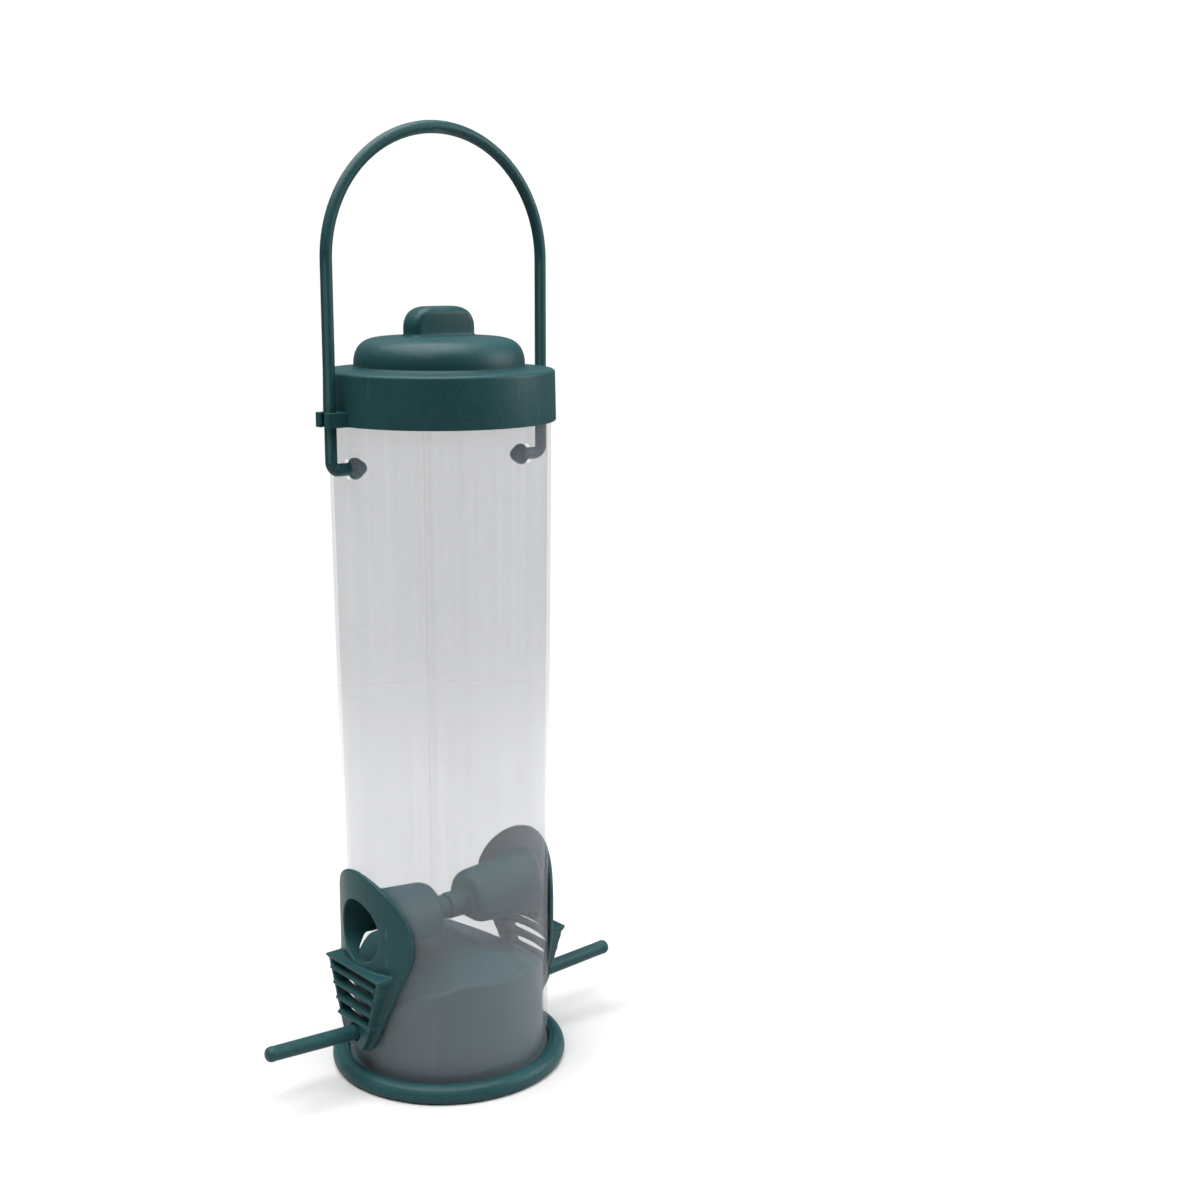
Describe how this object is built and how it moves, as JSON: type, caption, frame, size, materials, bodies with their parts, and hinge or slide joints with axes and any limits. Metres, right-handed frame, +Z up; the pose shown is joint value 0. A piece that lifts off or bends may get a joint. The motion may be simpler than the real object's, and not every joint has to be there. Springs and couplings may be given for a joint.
{
  "type": "hanging tube bird feeder",
  "caption": "Clear tube seed feeder with a slide-up lid, arched carrying handle, seed-shedding base and opposed perching ports.",
  "frame": {"origin": "centre of the base flange's underside", "axes": "+Z up the tube, the two feeding ports face -X and +X, and the handle arches over in the XZ plane"},
  "size_m": [0.132, 0.0746, 0.2907],
  "materials": {
    "green_plastic": "fine satin moulded",
    "clear_plastic": "clear, slightly hazy"
  },
  "bodies": {
    "feeder": {"tube": "clear_plastic", "base": "green_plastic", "port_1": "green_plastic", "port_2": "green_plastic", "perch_1": "green_plastic", "perch_2": "green_plastic", "handle": "green_plastic"},
    "lid": {"lid": "green_plastic"}
  },
  "joints": [
    {"name": "lid_lift", "type": "slide", "parent": "feeder", "child": "lid", "axis": [0, 0, 1], "range_m": [0, 0.04]}
  ]
}
